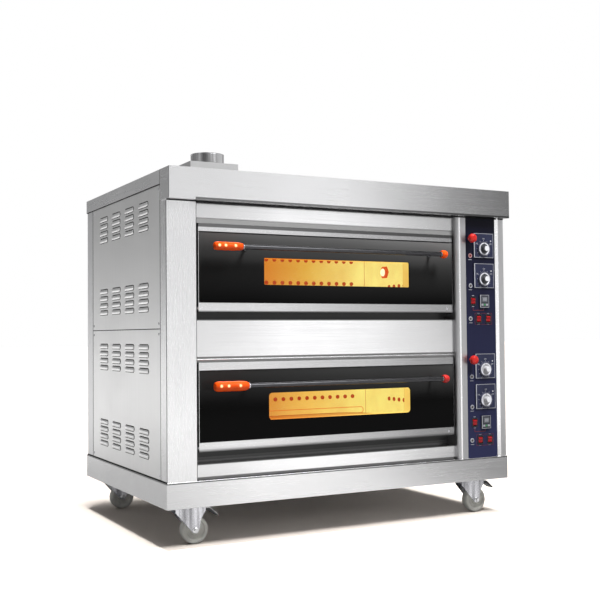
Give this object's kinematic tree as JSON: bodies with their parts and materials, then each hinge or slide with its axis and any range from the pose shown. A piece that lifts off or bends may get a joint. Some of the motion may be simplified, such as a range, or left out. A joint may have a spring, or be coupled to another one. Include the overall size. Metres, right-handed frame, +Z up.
{
  "type": "deck oven",
  "caption": "Two-deck bakery oven in stainless sheet: drop-down glass doors with bar handles, side control column, louvred sides, top flue and braked swivel casters.",
  "frame": {"origin": "centre of the overall box, at floor level", "axes": "+Z up, doors and controls face -Y, +X to the right as seen from the front"},
  "size_m": [1.356, 0.9395, 1.3734],
  "materials": {
    "black": "black pedal",
    "burner": "heated steel tube",
    "chrome": "bright bar",
    "glass": "black printed outer glass with a clear window",
    "hearth": "matt baking plate",
    "liner": "chamber sheet, lit warm",
    "navy": "dark blue satin panel",
    "nylon": "off-white nylon",
    "orange": "orange-red handle plastic",
    "plate": "dark thermostat plate",
    "red": "red knob and rocker plastic",
    "silver": "silver dial",
    "steel": "brushed stainless sheet",
    "timer": "dark timer case",
    "zinc": "zinc plated pressed steel"
  },
  "bodies": {
    "cabinet": {"base_plinth": "steel", "hood_fascia": "steel", "hood_cover": "steel", "flue": "steel", "left_post": "steel", "right_post": "steel", "back_panel": "steel", "side_left_lower": "steel", "side_left_upper": "steel", "side_right_lower": "steel", "side_right_upper": "steel", "front_strip_top": "steel", "front_strip_middle": "steel", "front_strip_bottom": "steel", "control_trim": "steel", "control_panel": "navy", "chamber_liner_lower": "liner", "hearth_lower": "hearth", "burner_tube_lower": "burner", "timer_lower": "timer", "thermostat_lower_1": "plate", "thermostat_lower_2": "plate", "chamber_liner_upper": "liner", "hearth_upper": "hearth", "burner_tube_upper": "burner", "timer_upper": "timer", "thermostat_upper_1": "plate", "thermostat_upper_2": "plate"},
    "door_lower": {"door_frame_lower": "steel", "door_glass_lower": "glass", "handle_rod_lower": "chrome", "handle_grip_lower": "orange", "handle_cap_lower": "orange"},
    "dial_lower_1": {"dial_lower_1": "silver"},
    "dial_lower_2": {"dial_lower_2": "silver"},
    "pull_knob_lower": {"pull_knob_lower": "red"},
    "rocker_lower_1": {"rocker_lower_1": "red"},
    "rocker_lower_2": {"rocker_lower_2": "red"},
    "rocker_lower_3": {"rocker_lower_3": "red"},
    "door_upper": {"door_frame_upper": "steel", "door_glass_upper": "glass", "handle_rod_upper": "chrome", "handle_grip_upper": "orange", "handle_cap_upper": "orange"},
    "dial_upper_1": {"dial_upper_1": "silver"},
    "dial_upper_2": {"dial_upper_2": "silver"},
    "pull_knob_upper": {"pull_knob_upper": "red"},
    "rocker_upper_1": {"rocker_upper_1": "red"},
    "rocker_upper_2": {"rocker_upper_2": "red"},
    "rocker_upper_3": {"rocker_upper_3": "red"},
    "fork_front_left": {"caster_fork_front_left": "zinc"},
    "wheel_front_left": {"caster_wheel_front_left": "nylon"},
    "pedal_front_left": {"brake_pedal_front_left": "black"},
    "fork_front_right": {"caster_fork_front_right": "zinc"},
    "wheel_front_right": {"caster_wheel_front_right": "nylon"},
    "pedal_front_right": {"brake_pedal_front_right": "black"},
    "fork_rear_left": {"caster_fork_rear_left": "zinc"},
    "wheel_rear_left": {"caster_wheel_rear_left": "nylon"},
    "fork_rear_right": {"caster_fork_rear_right": "zinc"},
    "wheel_rear_right": {"caster_wheel_rear_right": "nylon"}
  },
  "joints": [
    {"name": "door_lower_hinge", "type": "hinge", "parent": "cabinet", "child": "door_lower", "pos_m": [0, -0.39225, 0.3135], "axis": [1, 0, 0], "range_deg": [0, 90]},
    {"name": "dial_lower_1_turn", "type": "hinge", "parent": "cabinet", "child": "dial_lower_1", "pos_m": [0.5783, -0.42425, 0.5405], "axis": [0, 1, 0], "range_deg": [0, 300]},
    {"name": "dial_lower_2_turn", "type": "hinge", "parent": "cabinet", "child": "dial_lower_2", "pos_m": [0.5783, -0.42425, 0.4275], "axis": [0, 1, 0], "range_deg": [0, 300]},
    {"name": "pull_knob_lower_slide", "type": "slide", "parent": "cabinet", "child": "pull_knob_lower", "axis": [0, -1, 0], "range_m": [0, 0.05]},
    {"name": "rocker_lower_1_rock", "type": "hinge", "parent": "cabinet", "child": "rocker_lower_1", "pos_m": [0.5288, -0.41775, 0.3445], "axis": [-1, 0, 0], "range_deg": [0, 16]},
    {"name": "rocker_lower_2_rock", "type": "hinge", "parent": "cabinet", "child": "rocker_lower_2", "pos_m": [0.5538, -0.41775, 0.2785], "axis": [-1, 0, 0], "range_deg": [0, 16]},
    {"name": "rocker_lower_3_rock", "type": "hinge", "parent": "cabinet", "child": "rocker_lower_3", "pos_m": [0.5983, -0.41775, 0.2785], "axis": [-1, 0, 0], "range_deg": [0, 16]},
    {"name": "door_upper_hinge", "type": "hinge", "parent": "cabinet", "child": "door_upper", "pos_m": [0, -0.39225, 0.7635], "axis": [1, 0, 0], "range_deg": [0, 90]},
    {"name": "dial_upper_1_turn", "type": "hinge", "parent": "cabinet", "child": "dial_upper_1", "pos_m": [0.5783, -0.42425, 0.9905], "axis": [0, 1, 0], "range_deg": [0, 300]},
    {"name": "dial_upper_2_turn", "type": "hinge", "parent": "cabinet", "child": "dial_upper_2", "pos_m": [0.5783, -0.42425, 0.8775], "axis": [0, 1, 0], "range_deg": [0, 300]},
    {"name": "pull_knob_upper_slide", "type": "slide", "parent": "cabinet", "child": "pull_knob_upper", "axis": [0, -1, 0], "range_m": [0, 0.05]},
    {"name": "rocker_upper_1_rock", "type": "hinge", "parent": "cabinet", "child": "rocker_upper_1", "pos_m": [0.5288, -0.41775, 0.7945], "axis": [-1, 0, 0], "range_deg": [0, 16]},
    {"name": "rocker_upper_2_rock", "type": "hinge", "parent": "cabinet", "child": "rocker_upper_2", "pos_m": [0.5538, -0.41775, 0.7285], "axis": [-1, 0, 0], "range_deg": [0, 16]},
    {"name": "rocker_upper_3_rock", "type": "hinge", "parent": "cabinet", "child": "rocker_upper_3", "pos_m": [0.5983, -0.41775, 0.7285], "axis": [-1, 0, 0], "range_deg": [0, 16]},
    {"name": "swivel_front_left", "type": "hinge", "parent": "cabinet", "child": "fork_front_left", "pos_m": [-0.588, -0.34025, 0.126], "axis": [0, 0, 1], "continuous": true},
    {"name": "roll_front_left", "type": "hinge", "parent": "fork_front_left", "child": "wheel_front_left", "pos_m": [-0.555, -0.34025, 0.046], "axis": [0, 1, 0], "continuous": true},
    {"name": "brake_front_left", "type": "hinge", "parent": "fork_front_left", "child": "pedal_front_left", "pos_m": [-0.5166, -0.34025, 0.1101], "axis": [0, 1, 0], "range_deg": [0, 12]},
    {"name": "swivel_front_right", "type": "hinge", "parent": "cabinet", "child": "fork_front_right", "pos_m": [0.55, -0.34025, 0.126], "axis": [0, 0, 1], "continuous": true},
    {"name": "roll_front_right", "type": "hinge", "parent": "fork_front_right", "child": "wheel_front_right", "pos_m": [0.583, -0.34025, 0.046], "axis": [0, 1, 0], "continuous": true},
    {"name": "brake_front_right", "type": "hinge", "parent": "fork_front_right", "child": "pedal_front_right", "pos_m": [0.6214, -0.34025, 0.1101], "axis": [0, 1, 0], "range_deg": [0, 12]},
    {"name": "swivel_rear_left", "type": "hinge", "parent": "cabinet", "child": "fork_rear_left", "pos_m": [-0.588, 0.41675, 0.126], "axis": [0, 0, 1], "continuous": true},
    {"name": "roll_rear_left", "type": "hinge", "parent": "fork_rear_left", "child": "wheel_rear_left", "pos_m": [-0.555, 0.41675, 0.046], "axis": [0, 1, 0], "continuous": true},
    {"name": "swivel_rear_right", "type": "hinge", "parent": "cabinet", "child": "fork_rear_right", "pos_m": [0.55, 0.41675, 0.126], "axis": [0, 0, 1], "continuous": true},
    {"name": "roll_rear_right", "type": "hinge", "parent": "fork_rear_right", "child": "wheel_rear_right", "pos_m": [0.583, 0.41675, 0.046], "axis": [0, 1, 0], "continuous": true}
  ]
}
